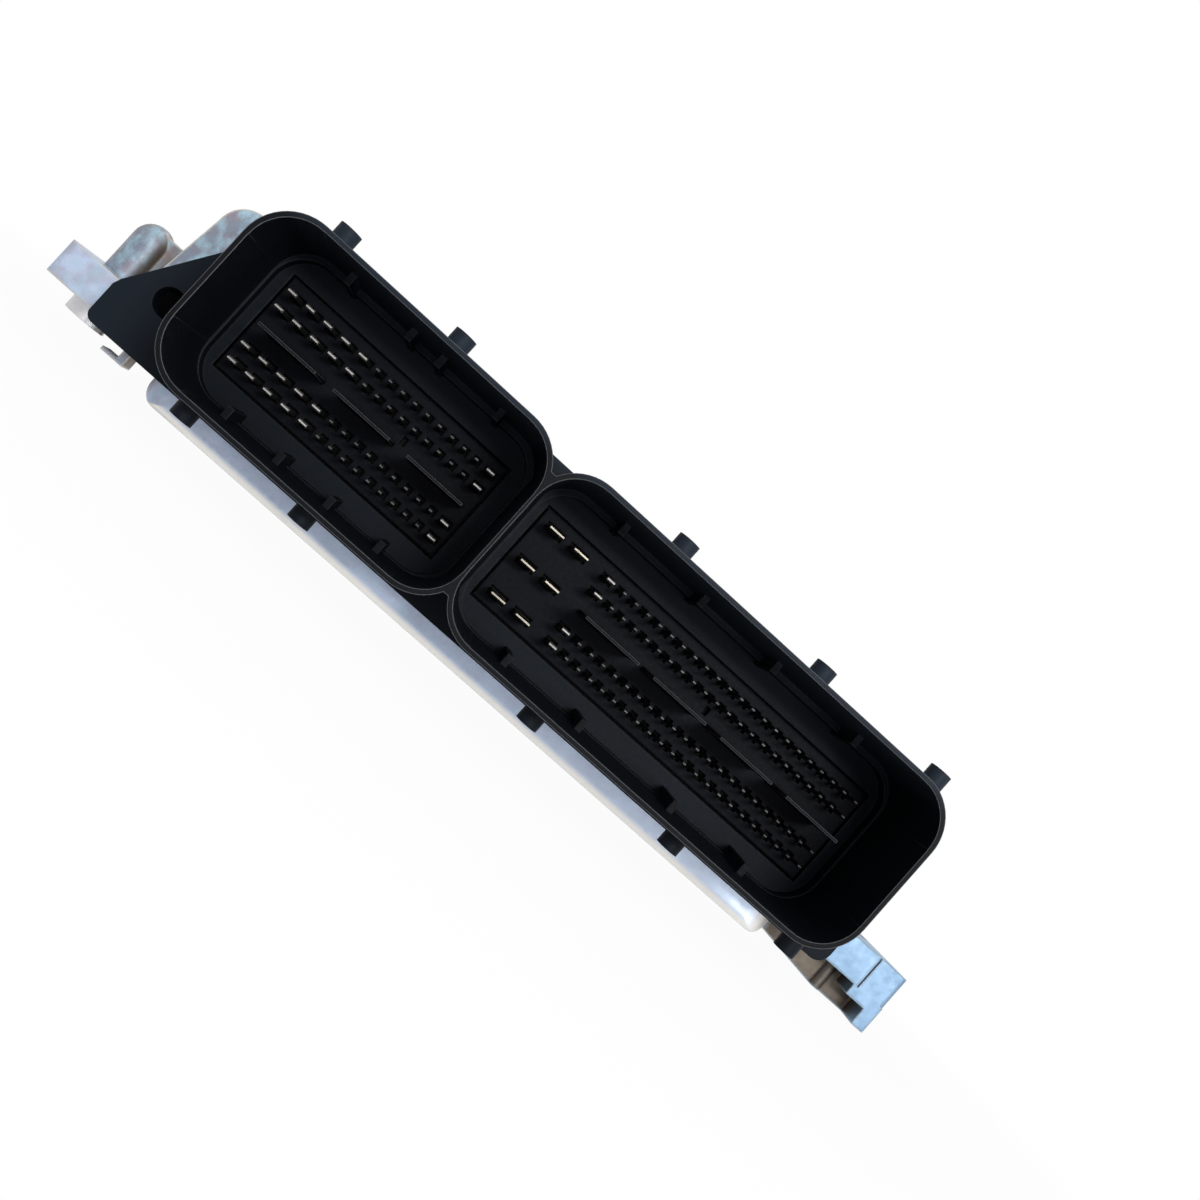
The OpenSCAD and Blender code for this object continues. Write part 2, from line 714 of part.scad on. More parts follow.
// holes for pins of size w by t, widened by g
module pin_holes(xs, zs, w, t, g) {
  for (x = xs, z = zs) {
    rect(x - w / 2 - g, x + w / 2 + g, header_z + z - t / 2 - g, header_z + z + t / 2 + g);
  }
}

// guide blades that stand between the inner pin rows, from the places xs
module guide_blades(xs) {
  root_y = socket_depth + groove_d;
  top_y = socket_depth - guide_h;
  for (x = xs) {
    along_x(x, x + guide_len) polygon([
      [root_y, header_z - guide_t[0] / 2], [top_y, header_z - guide_t[1] / 2],
      [top_y, header_z + guide_t[1] / 2], [root_y, header_z + guide_t[0] / 2]
    ]);
  }
}

// body of a pin carrier over the field f: a smaller front face leaves the groove round it
module carrier_body(f) {
  z0 = header_z - carrier_half;
  z1 = header_z + carrier_half;
  along_y(socket_depth + groove_d, flange_back_y) {
    rect(f[0] + carrier_gap, f[1] - carrier_gap, z0 + carrier_gap, z1 - carrier_gap);
  }
  along_y(socket_depth, socket_depth + groove_d + eps) {
    rect(f[0] + groove_w, f[1] - groove_w, z0 + groove_w, z1 - groove_w);
  }
}

// small slot in the face of a carrier, at the place p from the field's left end and middle
module face_slot(f, p) {
  along_y(socket_depth - 1, socket_depth + 1.5) {
    rect(f[0] + p[0] - 0.5, f[0] + p[0] + 0.5, header_z + p[1] - 0.75, header_z + p[1] + 0.75);
  }
}

// all pin holes of the small carrier, widened by g
module holes_60(g) {
  pin_holes(signal_x_60, row_z, pin_s, pin_s, g);
  pin_holes(wide_x_60, row_z, wide_w, pin_s, g);
}

// all pin holes of the large carrier, widened by g
module holes_94(g) {
  pin_holes(signal_x_94, row_z, pin_s, pin_s, g);
  pin_holes(wide_x_94, row_z, wide_w, pin_s, g);
  pin_holes(blade_x, blade_row_z, blade_w, blade_t, g);
}

module pin_carrier_60() {
  color([0.08, 0.09, 0.1]) place() union() {
    difference() {
      carrier_body(field_60);
      along_y(socket_depth - 1, socket_depth + pin_sink_d) holes_60(pin_sink);
      along_y(socket_depth, flange_back_y + 1) holes_60(pin_fit);
      face_slot(field_60, [29.65, 1.5]);
    }
    guide_blades(guide_x_60);
  }
}

module pin_carrier_94() {
  color([0.08, 0.09, 0.1]) place() union() {
    difference() {
      carrier_body(field_94);
      along_y(socket_depth - 1, socket_depth + pin_sink_d) holes_94(pin_sink);
      along_y(socket_depth, flange_back_y + 1) holes_94(pin_fit);
      face_slot(field_94, [41.35, 1.8]);
    }
    guide_blades(guide_x_94);
  }
}

// angled pin: from its tip in the socket to its foot on the board
module angled_pin(x, z, w, t, bend) {
  zc = header_z + z;
  full_y = tip_y + pin_tip;
  along_x(x - w / 2, x + w / 2) polygon([
    [tip_y, zc - t / 5], [tip_y, zc + t / 5], [full_y, zc + t / 2], [bend + t / 2, zc + t / 2],
    [bend + t / 2, board_top_z], [bend - t / 2, board_top_z], [bend - t / 2, zc - t / 2], [full_y, zc - t / 2]
  ]);
}

module signal_pins_60() {
  color("silver") place() {
    for (i = [0:3], x = signal_x_60) {
      angled_pin(x, row_z[i], pin_s, pin_s, row_bend[i]);
    }
  }
}

module wide_pins_60() {
  color("silver") place() {
    for (i = [0:3], x = wide_x_60) {
      angled_pin(x, row_z[i], wide_w, pin_s, row_bend[i]);
    }
  }
}

module signal_pins_94() {
  color("silver") place() {
    for (i = [0:3], x = signal_x_94) {
      angled_pin(x, row_z[i], pin_s, pin_s, row_bend[i]);
    }
  }
}

module wide_pins_94() {
  color("silver") place() {
    for (i = [0:3], x = wide_x_94) {
      angled_pin(x, row_z[i], wide_w, pin_s, row_bend[i]);
    }
  }
}

module power_blades() {
  color("silver") place() {
    for (i = [0:2], x = blade_x) {
      angled_pin(x, blade_row_z[i], blade_w, blade_t, blade_bend[i]);
    }
  }
}

module header_seal() {
  half = window_half + seal_rim;
  color([0.2, 0.2, 0.22]) place() along_y(flange_back_y, front_y) difference() {
    union() {
      round_rect(-half, half, window_z0 - seal_rim, window_z1 + seal_rim, 2);
      translate([vent_x, vent_z]) circle(vent_bore_d / 2 + seal_rim);
    }
    rect(-window_half, window_half, window_z0, window_z1);
    translate([vent_x, vent_z]) circle(d = vent_bore_d + 0.4);
  }
}

module housing_seal() {
  color([0.2, 0.2, 0.22]) place() along_z(parting_z - seal_h, parting_z) seal_loop(0.05);
}

module vent_membrane() {
  color([0.2, 0.2, 0.2]) place() along_y(membrane_y - 0.3, membrane_y) {
    translate([vent_x, vent_z]) circle(d = vent_d - 0.1);
  }
}

module circuit_board() {
  color([0.1, 0.35, 0.2]) place() along_z(board_ledge_z, board_top_z) difference() {
    plan(2 * board_half, board_y0, board_y1, room_r);
    for (p = board_screw_places) {
      translate(p) circle(d = board_screw_d + 2 * screw_gap);
    }
  }
}

// flat component on the board: middle at p, size s
module chip(p, s) {
  translate([p[0] - s[0] / 2, p[1] - s[1] / 2, board_top_z]) cube(s);
}

module microcontroller() {
  color([0.12, 0.12, 0.13]) place() chip([-6, board_y0 + 42.5], [24, 24, 2.2]);
}

module flash_memory() {
  color([0.12, 0.12, 0.13]) place() chip([18, board_y0 + 42.5], [12, 14, 1.4]);
}

module driver_chips() {
  size = [14, 14, 2.4];
  color([0.13, 0.13, 0.14]) place() {
    for (x = [left_x + 18, right_x - 18, right_x]) {
      chip([x, board_y0 + 28.5], size);
    }
    chip([32, board_y0 + 56.5], size);
  }
}

module power_transistors() {
  color([0.13, 0.13, 0.14]) place() {
    for (i = [0:5]) {
      chip([14 * (i + 1) + left_x, rear_y], [10, 9, 2.4]);
    }
  }
}

module reservoir_capacitors() {
  color([0.25, 0.25, 0.28]) place() {
    for (x = [right_x - 13, right_x], y = [rear_y - 28, rear_y - 15]) {
      post([x, y], 10, board_top_z, board_top_z + 14);
    }
  }
}

module power_inductors() {
  color([0.22, 0.22, 0.22]) place() {
    for (i = [0:2]) {
      chip([left_x + 18 * i, rear_y - 15], [12.5, 12.5, 7.5]);
    }
  }
}

module ceramic_capacitors() {
  color([0.6, 0.5, 0.35]) place() {
    for (i = [0:9], j = [0:1]) {
      chip([6 * i - 26, board_y0 + 19.5 + 3.5 * j], [3.2, 2.5, 2]);
    }
  }
}

module shunt_resistors() {
  color([0.15, 0.15, 0.15]) place() {
    for (i = [0:2]) {
      chip([right_x - 9 * i, rear_y + 2], [6.3, 3.2, 1]);
    }
  }
}

module crystal() {
  color("silver") place() chip([-24, board_y0 + 42.5], [5, 3.2, 1.3]);
}

module pressure_sensor() {
  spot = [left_x, board_y0 + 30.5];
  color([0.15, 0.15, 0.16]) place() difference() {
    union() {
      chip(spot, [10, 8, 4]);
      post(spot, 4, board_top_z + 3.9, board_top_z + 7);
    }
    post(spot, 1.6, board_top_z + 2, board_top_z + 8);
  }
}

module thermal_pad() {
  color([0.6, 0.6, 0.7]) place() translate([plateau[0], plateau[1], board_ledge_z - pad_t]) {
    cube([plateau[2], plateau[3], pad_t]);
  }
}

module cover_screws() {
  color("lightgray") place() {
    for (p = boss_places) {
      difference() {
        union() {
          post(p, screw_d, flange_under_z - 0.1, boss_top_z - boss_r - 1);
          post(p, screw_head_d, flange_under_z - screw_head_h, flange_under_z);
        }
        translate([p[0], p[1], flange_under_z - screw_head_h - 1]) cylinder(d = 3.4, h = 2.6, $fn = 6);
      }
    }
  }
}

module board_screws() {
  color("lightgray") place() {
    for (p = board_screw_places) {
      difference() {
        union() {
          post(p, board_screw_d, board_ledge_z - 1.8, board_top_z + 0.1);
          post(p, board_head_d, board_top_z, board_top_z + 2);
        }
        translate([p[0], p[1], board_top_z + 0.9]) cylinder(d = 2.6, h = 2, $fn = 6);
      }
    }
  }
}

housing_base();
housing_cover();
connector_header();
pin_carrier_60();
pin_carrier_94();
signal_pins_60();
wide_pins_60();
signal_pins_94();
wide_pins_94();
power_blades();
header_seal();
housing_seal();
vent_membrane();
circuit_board();
microcontroller();
flash_memory();
driver_chips();
power_transistors();
reservoir_capacitors();
power_inductors();
ceramic_capacitors();
shunt_resistors();
crystal();
pressure_sensor();
thermal_pad();
cover_screws();
board_screws();
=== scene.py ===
"""Looks of the engine control unit: cast aluminium, black mouldings and tinned pins on the CAD solids."""
import math
import bpy
from mathutils import Matrix, Vector

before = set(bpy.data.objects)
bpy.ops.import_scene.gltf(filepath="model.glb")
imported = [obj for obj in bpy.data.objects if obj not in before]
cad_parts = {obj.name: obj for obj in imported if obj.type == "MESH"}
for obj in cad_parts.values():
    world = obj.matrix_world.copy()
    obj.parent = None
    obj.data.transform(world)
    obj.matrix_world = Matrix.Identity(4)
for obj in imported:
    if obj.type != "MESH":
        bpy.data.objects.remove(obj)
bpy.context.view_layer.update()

MM = 0.001

# Places on the part in mm: a mask fades from the first to the second
FOOT_X = (66, 76)
FOOT_Y = (-26, -14)
HOLLOW_X = (67.8, 69.2)
HOLLOW_Y = (-37.5, -34)
HOLLOW_Z = (5.2, 5.6)
LEFT_CORNER_X = (-66, -58)
LEFT_CORNER_Y = (-34, -22)
TUB_CORNER_X = (68, 71)
LIP_X = (0, 60)
BEHIND_LIP_Y = (-30, -14)
CLEAR_FROM_X = (56, 62)
CLEAR_TO_X = (67.6, 68.6)
EAR_X = (-67.2, -66.4)
RIM_Y = (-69.9, -69.6)
RIB_FROM_Y = (-57.4, -57.1)
RIB_TO_Y = (-56.6, -56.3)
HEADER_TOP_Z = (34.5, 37.5)
HEADER_HIGHLIGHT_Y = (-68, -64)
CARRIER_HIGHLIGHT_Y = (-49, -46.5)
PIN_TIP_Y = (-51.9, -51.3)
FAR_PINS_X = (42, 62)

# Colours, linear
# Painted highlights along outer edges: cast metal, its right foot, the header and the carriers
METAL_EDGE_HIGHLIGHT = (0.80, 0.77, 0.70)
FOOT_EDGE_HIGHLIGHT = (0.37, 0.49, 0.60)
PLASTIC_EDGE_HIGHLIGHT = (0.26, 0.27, 0.285)
CARRIER_EDGE_HIGHLIGHT = (0.16, 0.165, 0.175)
# Painted light on the header's top and pegs, and on the ear
TOP_LIGHT_PLASTIC = (0.028, 0.038, 0.054)
LIT_EAR_PLASTIC = (0.0145, 0.0210, 0.0310)
# Painted shade: the header's walls, rims and rib fronts, and narrow gaps in the carriers
SHADED_PLASTIC = (0.0036, 0.0046, 0.0066)
HOLE_SHADE_PLASTIC = (0.0012, 0.0012, 0.0016)
# Painted reflections at the front left corner: pink and cyan patches, and warm flanks
CAST_PINK_REFLECTION = (0.33, 0.245, 0.28)
CAST_WARM_REFLECTION = (0.33, 0.27, 0.225)
CAST_SHEEN = (0.42, 0.62, 0.74)
# Painted shade in recesses and in the hollow below the right foot
CAST_RECESS_SHADE = (0.16, 0.135, 0.11)
CAST_SHADE = (0.115, 0.096, 0.078)
# Painted highlight on downward roundings and on the tub's right corner
CAST_HIGHLIGHT = (0.97, 0.95, 0.91)
# Painted light: the front lip's colours, lighter than the plain cast
CAST_LIT_LIP_HIGH = (0.595, 0.685, 0.875)
CAST_LIT_LIP_LOW = (0.50, 0.59, 0.755)
# The cast's own plain colours
CAST_PLAIN = (0.28, 0.325, 0.40)
CAST_DULL = (0.22, 0.26, 0.325)
# Painted light: the front lip further right, and the front right foot in patches
CAST_LIT_RIGHT = (0.70, 0.80, 0.97)
CAST_FOOT_LIGHT = (0.164, 0.288, 0.435)
CAST_FOOT_GLEAM = (0.20, 0.325, 0.47)
# Painted shade in the right foot's recesses
CAST_FOOT_SHADE = (0.15, 0.21, 0.27)
# Painted shade on pin bodies behind their tips
PIN_BODY_SHADE = (0.012, 0.012, 0.012)
WIDE_PIN_BODY_SHADE = (0.03, 0.03, 0.03)
MASK_LIGHT = (0.03, 0.14, 0.06)
MASK_DARK = (0.012, 0.075, 0.03)
WHITE = (1.0, 1.0, 1.0, 1.0)
FLOOR_GREY = (0.5, 0.5, 0.5, 1.0)
SOFT_LIGHT = (0.82, 0.88, 1.0, 1.0)

# Camera fitted to the photograph: place in m, turns in degrees, focal length in pixels
CAMERA_PLACE = (-0.016618, -0.2637, 0.0188)
CAMERA_YAW = 6.311
CAMERA_PITCH = 1.579
CAMERA_ROLL = 41.883
FOCAL_PIXELS = 1370.0
IMAGE_PIXELS = 1200.0
SENSOR_MM = 36.0

# Floor: sizes in m, and the share of white over its shadow close to the object and far from it
FLOOR_HALF = 3.0
FLOOR_DROP = 0.0002
SHADOW_NEAR = 0.08
SHADOW_FAR = 0.2
WHITE_NEAR = 0.955
WHITE_FAR = 1.0

# Strength of the world's soft light
SOFT_STRENGTH = 0.1

# Lamps: name, place, aim and size in m, power in W
LAMPS = (
    ("key_lamp", (0.31, -1.25, 0.29), (0, -0.04, 0.02), (0.36, 0.15), 6.9),
    ("low_lamp", (0.40, -0.5, 0.03), (0.04, -0.04, 0.004), (0.3, 0.05), 0.38),
    ("side_lamp", (0.58, -1.1, 0.24), (0.06, -0.04, 0.01), (0.3, 0.2), 0.65),
    ("top_lamp", (0.1, 0.35, 1.2), (0, 0.02, 0.02), (0.9, 0.9), 5.0),
)


def new_node(tree, kind, **values):
    """A node with its settings and its fixed sockets filled in."""
    made = tree.nodes.new(kind)
    for key, value in values.items():
        if hasattr(made, key):
            setattr(made, key, value)
        else:
            made.inputs[key.replace("_", " ")].default_value = value
    return made


def dimmed(colour, share):
    """The colour at a share of its strength."""
    return tuple(share * c for c in colour)


class Graph:
    """Short names for building one procedural material. A mask is a socket that runs between 0 and 1."""

    def __init__(self, name):
        self.mat = bpy.data.materials.new(name)
        self.mat.use_nodes = True
        self.tree = self.mat.node_tree
        self.bsdf = self.tree.nodes["Principled BSDF"]
        self.place = self.node("ShaderNodeTexCoord").outputs["Object"]

    def node(self, kind, **values):
        return new_node(self.tree, kind, **values)

    def link(self, out, into):
        self.tree.links.new(out, into)

    def noise(self, scale, detail=3.0, rough=0.55, stretch=None):
        """Noise in the part's own space, drawn out along an axis where stretch is below 1."""
        source = self.place
        if stretch:
            mapping = self.node("ShaderNodeMapping", Scale=stretch)
            self.link(source, mapping.inputs["Vector"])
            source = mapping.outputs["Vector"]
        noise = self.node("ShaderNodeTexNoise", Scale=scale, Detail=detail, Roughness=rough)
        self.link(source, noise.inputs["Vector"])
        return noise.outputs["Fac"]

    def ramp(self, fac, stops):
        """Colours at their positions along fac."""
        ramp = self.node("ShaderNodeValToRGB")
        elements = ramp.color_ramp.elements
        for element, (position, colour) in zip(elements, stops):
            element.position = position
            element.color = (*colour, 1.0)
        self.link(fac, ramp.inputs["Fac"])
        return ramp.outputs["Color"]

    def span(self, fac, low, high, start=0.3, stop=0.7):
        """Runs from low to high while fac goes from start to stop."""
        span = self.node("ShaderNodeMapRange", From_Min=start, From_Max=stop, To_Min=low, To_Max=high)
        self.link(fac, span.inputs["Value"])
        return span.outputs["Result"]

    def rescaled(self, mask, low, high):
        """Runs from low to high while a mask goes from 0 to 1."""
        return self.span(mask, low, high, 0.0, 1.0)

    def mix(self, mask, under, over):
        """The colour over in place of the colour under, as far as the mask says."""
        mix = self.node("ShaderNodeMix", data_type="RGBA")
        self.link(mask, mix.inputs[0])
        for socket, value in ((mix.inputs[6], under), (mix.inputs[7], over)):
            if isinstance(value, tuple):
                socket.default_value = (*value, 1.0)
            else:
                self.link(value, socket)
        return mix.outputs[2]

    def combine(self, operation, *terms, clamp=False):
        node = self.node("ShaderNodeMath", operation=operation, use_clamp=clamp)
        for term, socket in zip(terms, node.inputs):
            self.link(term, socket)
        return node.outputs[0]

    def both(self, one, other):
        """Product of two masks."""
        return self.combine("MULTIPLY", one, other)

    def component(self, vector, axis):
        split = self.node("ShaderNodeSeparateXYZ")
        self.link(vector, split.inputs[0])
        return split.outputs[axis]

    def after(self, axis, places, most=1.0):
        """0 before two places in mm along one axis, most after them."""
        start, stop = places
        return self.span(self.component(self.place, axis), 0.0, most, start * MM, stop * MM)

    def before(self, axis, places, least=0.0):
        """1 before two places in mm along one axis, least after them."""
        start, stop = places
        return self.span(self.component(self.place, axis), 1.0, least, start * MM, stop * MM)

    def facing(self, axis):
        """How far the face looks along one axis, -1 to 1."""
        return self.component(self.node("ShaderNodeNewGeometry").outputs["Normal"], axis)

    def turned(self, axis, low, high, start, stop):
        """Runs from low to high while the face turns, where 0 is across the axis and 1 along it."""
        return self.span(self.combine("ABSOLUTE", self.facing(axis)), low, high, start, stop)

    def edges(self, reach):
        """1 along outer edges, 0 on flat stretches and in inner corners; reach in mm."""
        node = self.node("ShaderNodeAmbientOcclusion", inside=True, only_local=True, samples=6,
                         Distance=reach * MM)
        return self.span(node.outputs["AO"], 1.0, 0.0, 0.55, 0.95)

    def recesses(self, reach):
        """1 deep in corners and under overhangs of the same piece, 0 on open faces; reach in mm."""
        node = self.node("ShaderNodeAmbientOcclusion", only_local=True, samples=8, Distance=reach * MM)
        return self.span(node.outputs["AO"], 1.0, 0.0, 0.45, 0.9)

    def right_foot(self):
        """1 on the front foot at the right end, 0 on the body and on the other feet."""
        return self.both(self.after("X", FOOT_X), self.before("Y", FOOT_Y))

    def hollow(self):
        """1 in the open hollow below the right foot, 0 elsewhere."""
        right_below = self.both(self.after("X", HOLLOW_X), self.before("Z", HOLLOW_Z))
        return self.both(right_below, self.after("Y", HOLLOW_Y))

    def left_corner(self):
        """1 round the boss and the cover's corner at the front left, 0 elsewhere."""
        return self.both(self.before("X", LEFT_CORNER_X), self.before("Y", LEFT_CORNER_Y))

    def left_flanks(self):
        """Strong on the flanks at the front left corner, faint on flat tops there, 0 elsewhere."""
        not_front = self.turned("Y", low=0.8, high=0.0, start=0.2, stop=0.75)
        not_top = self.turned("Z", low=1.0, high=0.15, start=0.85, stop=0.98)
        return self.both(self.left_corner(), self.both(not_front, not_top))

    def rib_fronts(self):
        """1 on the fronts of the coding ribs, 0 elsewhere."""
        return self.both(self.after("Y", RIB_FROM_Y), self.before("Y", RIB_TO_Y))

    def tub_corner(self):
        """1 where the tub's upright corner turns to the right, 0 elsewhere."""
        to_the_right = self.span(self.facing("X"), 0.0, 1.0, 0.1, 0.55)
        return self.both(to_the_right, self.before("X", TUB_CORNER_X))

    def undersides(self):
        """1 where a rounding turns below the horizontal, 0 on upright faces and on the flat underside."""
        upward = self.facing("Z")
        rounding = self.span(upward, 0.0, 1.0, -0.15, -0.6)
        flat = self.span(upward, 1.0, 0.0, -0.97, -0.9)
        return self.combine("SUBTRACT", rounding, flat, clamp=True)

    def bevel(self, radius):
        """Normals rounded over edges; radius in mm."""
        return self.node("ShaderNodeBevel", samples=6, Radius=radius * MM).outputs["Normal"]

    def bump(self, height, strength, depth, normal=None):
        """Normals bumped by height; depth in mm."""
        node = self.node("ShaderNodeBump", Strength=strength, Distance=depth * MM)
        self.link(height, node.inputs["Height"])
        if normal is not None:
            self.link(normal, node.inputs["Normal"])
        return node.outputs["Normal"]

    def base(self, colour, rough, normal, **fixed):
        """The finished material."""
        self.link(colour, self.bsdf.inputs["Base Color"])
        self.link(rough, self.bsdf.inputs["Roughness"])
        self.link(normal, self.bsdf.inputs["Normal"])
        for key, value in fixed.items():
            self.bsdf.inputs[key.replace("_", " ")].default_value = value
        return self.mat


def cast_metal(name, light, dark, grain, corner_reflection, foot=None):
    """Die-cast aluminium: skin grain, flow clouds, painted highlights on outer edges and painted shade in
    recesses.

    corner_reflection is the strength of painted reflections at the front left corner. A foot colour makes it
    the base:
    the front lip is painted lighter, more so to the right, the front right foot takes that painted light
    colour, and what lies behind is plain.
    """
    g = Graph(name)
    clouds = g.noise(scale=55.0, detail=4.0, rough=0.6)
    drift = g.noise(scale=300.0)
    sheen = g.noise(scale=380.0, stretch=(1.0, 1.0, 0.7))
    skin = g.noise(scale=900.0, rough=0.65)
    specks = g.noise(scale=2600.0, detail=2.0, rough=0.5)
    colour = g.ramp(clouds, [(0.3, dark), (0.7, light)])
    # Painted reflections: pink and cyan patches at the front left corner
    reflection_share = g.rescaled(g.left_corner(), 0.16, corner_reflection)
    colour = g.mix(g.both(g.span(drift, 0.0, 1.0, 0.42, 0.62), reflection_share), colour, CAST_PINK_REFLECTION)
    colour = g.mix(g.both(g.span(sheen, 0.0, 1.0, 0.46, 0.64), reflection_share), colour, CAST_SHEEN)
    colour = g.mix(g.span(specks, 0.0, 0.22), colour, dimmed(dark, 0.6))
    if foot:
        # Painted light: the front lip grows lighter to the right, and the front right foot takes the foot
        # colour in patches
        colour = g.mix(g.after("X", LIP_X, most=0.8), colour, CAST_LIT_RIGHT)
        spots = g.noise(scale=240.0, rough=0.6)
        lit_patches = g.ramp(spots, [(0.36, dimmed(foot, 0.84)), (0.64, CAST_FOOT_GLEAM)])
        colour = g.mix(g.rescaled(g.right_foot(), 0.0, 0.9), colour, lit_patches)
        # Painted highlight on the tub's upright right corner
        colour = g.mix(g.tub_corner(), colour, CAST_HIGHLIGHT)
        plain = g.ramp(clouds, [(0.3, CAST_DULL), (0.7, CAST_PLAIN)])
        colour = g.mix(g.after("Y", BEHIND_LIP_Y), colour, plain)
    # Painted shade in recesses: brown, slate blue on the right foot, left out near the tub's right corner
    recess_shade = g.mix(g.right_foot(), CAST_RECESS_SHADE, CAST_FOOT_SHADE)
    clear = g.both(g.after("X", CLEAR_FROM_X), g.before("X", CLEAR_TO_X))
    shade_share = g.both(g.recesses(10.0), g.rescaled(clear, 1.0, 0.0))
    colour = g.mix(shade_share, colour, recess_shade)
    # Painted highlight on roundings that turn downwards
    colour = g.mix(g.undersides(), colour, CAST_HIGHLIGHT)
    colour = g.mix(g.hollow(), colour, CAST_SHADE)
    # Painted reflection: a warm tint on the flanks at the front left corner
    colour = g.mix(g.left_flanks(), colour, CAST_WARM_REFLECTION)
    # Painted highlights along outer edges, cooler on the right foot
    edge_highlight = g.mix(g.right_foot(), METAL_EDGE_HIGHLIGHT, FOOT_EDGE_HIGHLIGHT)
    colour = g.mix(g.edges(0.4), colour, edge_highlight)
    normal = g.bump(skin, strength=grain, depth=0.10, normal=g.bevel(0.7))
    normal = g.bump(specks, strength=0.5 * grain, depth=0.04, normal=normal)
    return g.base(colour, g.span(skin, 0.42, 0.56), normal, Metallic=0.75)


def moulded(name, light, dark, rough, edge=0.35, grain=0.16, edge_highlight=None, edge_highlight_y=None, top_light=None, painted_shade=None,
            hole_shade=None):
    """Moulded plastic: faint clouding, a fine eroded texture and softened edges.

    painted_shade makes it the header: that colour is painted shade on its walls, rims and rib fronts, and the
    ear has its own painted light colour. top_light is painted light on the header's top and pegs, hole_shade
    painted shade in narrow gaps, and edge_highlight a painted highlight on the edges before edge_highlight_y.
    """
    g = Graph(name)
    clouds = g.noise(scale=70.0)
    spark = g.noise(scale=1800.0, rough=0.6)
    colour = g.ramp(clouds, [(0.32, dark), (0.68, light)])
    if painted_shade:
        # Painted shade on the side walls
        walls = g.turned("Y", low=0.7, high=0.0, start=0.3, stop=0.7)
        colour = g.mix(walls, colour, painted_shade)
        # Painted light: the ear lighter and bluer than the rest
        colour = g.mix(g.before("X", EAR_X), colour, LIT_EAR_PLASTIC)
        # Painted shade on the rims and on the fronts of the coding ribs
        colour = g.mix(g.before("Y", RIM_Y), colour, painted_shade)
        colour = g.mix(g.rib_fronts(), colour, painted_shade)
    if hole_shade:
        # Painted shade in holes, narrow gaps and under the guide blades
        colour = g.mix(g.recesses(1.6), colour, hole_shade)
    if top_light:
        # Painted light on the header's top and pegs
        colour = g.mix(g.after("Z", HEADER_TOP_Z), colour, top_light)
    if edge_highlight:
        # Painted highlights along outer edges, strongest towards the front
        colour = g.mix(g.both(g.edges(0.15), g.before("Y", edge_highlight_y, least=0.15)), colour, edge_highlight)
    normal = g.bump(spark, strength=grain, depth=0.05, normal=g.bevel(edge))
    return g.base(colour, g.span(spark, rough - 0.05, rough + 0.07), normal, Specular_IOR_Level=0.1)


def tinned(name, light, dark, rough=0.3, metallic=1.0, body_shade=None, shade_from_x=None):
    """Bright metal, drawn lengthwise and a little cloudy.

    body_shade is painted shade on a pin behind its lit tip, and shade_from_x where the tips take that painted
    shade too.
    """
    g = Graph(name)
    clouds = g.noise(scale=400.0)
    drawn = g.noise(scale=700.0, rough=0.6, stretch=(1.0, 0.12, 1.0))
    colour = g.ramp(clouds, [(0.3, dark), (0.7, light)])
    if body_shade:
        # Painted shade on the pin's body behind the tip
        colour = g.mix(g.after("Y", PIN_TIP_Y), colour, body_shade)
    if shade_from_x:
        # Painted shade on the tips towards the far right end
        colour = g.mix(g.after("X", shade_from_x, most=0.8), colour, body_shade)
    normal = g.bump(drawn, strength=0.12, depth=0.02, normal=g.bevel(0.12))
    return g.base(colour, g.span(drawn, rough - 0.06, rough + 0.1), normal, Metallic=metallic)


def woven_board(name):
    """Solder mask over a glass weave, with faint copper under it."""
    g = Graph(name)
    weave = g.noise(scale=420.0, detail=2.0, rough=0.5, stretch=(1.0, 0.35, 1.0))
    copper = g.noise(scale=60.0, detail=4.0, rough=0.6)
    colour = g.ramp(copper, [(0.42, MASK_DARK), (0.55, MASK_LIGHT)])
    return g.base(colour, g.span(weave, 0.25, 0.4), g.bump(weave, strength=0.1, depth=0.03))


CAST_BASE = cast_metal("cast_base_skin", CAST_LIT_LIP_HIGH, CAST_LIT_LIP_LOW, grain=0.22, corner_reflection=0.4, foot=CAST_FOOT_LIGHT)
CAST_COVER = cast_metal("cast_cover_skin", CAST_PLAIN, CAST_DULL, grain=0.26, corner_reflection=0.85)
HEADER = moulded("header_moulding", (0.0080, 0.0116, 0.0180), (0.0056, 0.0081, 0.0127), rough=0.5,
                 edge_highlight=PLASTIC_EDGE_HIGHLIGHT, edge_highlight_y=HEADER_HIGHLIGHT_Y, top_light=TOP_LIGHT_PLASTIC, painted_shade=SHADED_PLASTIC)
CARRIER = moulded("carrier_moulding", (0.0029, 0.0039, 0.0078), (0.0020, 0.0028, 0.0056), rough=0.55,
                  edge_highlight=CARRIER_EDGE_HIGHLIGHT, edge_highlight_y=CARRIER_HIGHLIGHT_Y, hole_shade=HOLE_SHADE_PLASTIC)
PIN = tinned("tinned_pin", (0.125, 0.125, 0.125), (0.065, 0.065, 0.065), rough=0.5, metallic=0.5,
             body_shade=PIN_BODY_SHADE, shade_from_x=FAR_PINS_X)
WIDE_PIN = tinned("tinned_wide_pin", (0.58, 0.565, 0.54), (0.40, 0.385, 0.365), rough=0.5, metallic=0.5,
                  body_shade=WIDE_PIN_BODY_SHADE)
BLADE = tinned("tinned_blade", (0.38, 0.35, 0.29), (0.24, 0.22, 0.18))
SEAL = moulded("seal_rubber_skin", (0.05, 0.05, 0.055), (0.035, 0.035, 0.04), rough=0.7)
MEMBRANE = moulded("membrane_felt", (0.004, 0.004, 0.0045), (0.0025, 0.0025, 0.003), rough=0.85, edge=0.1,
                   grain=0.5)
BOARD = woven_board("board_mask")
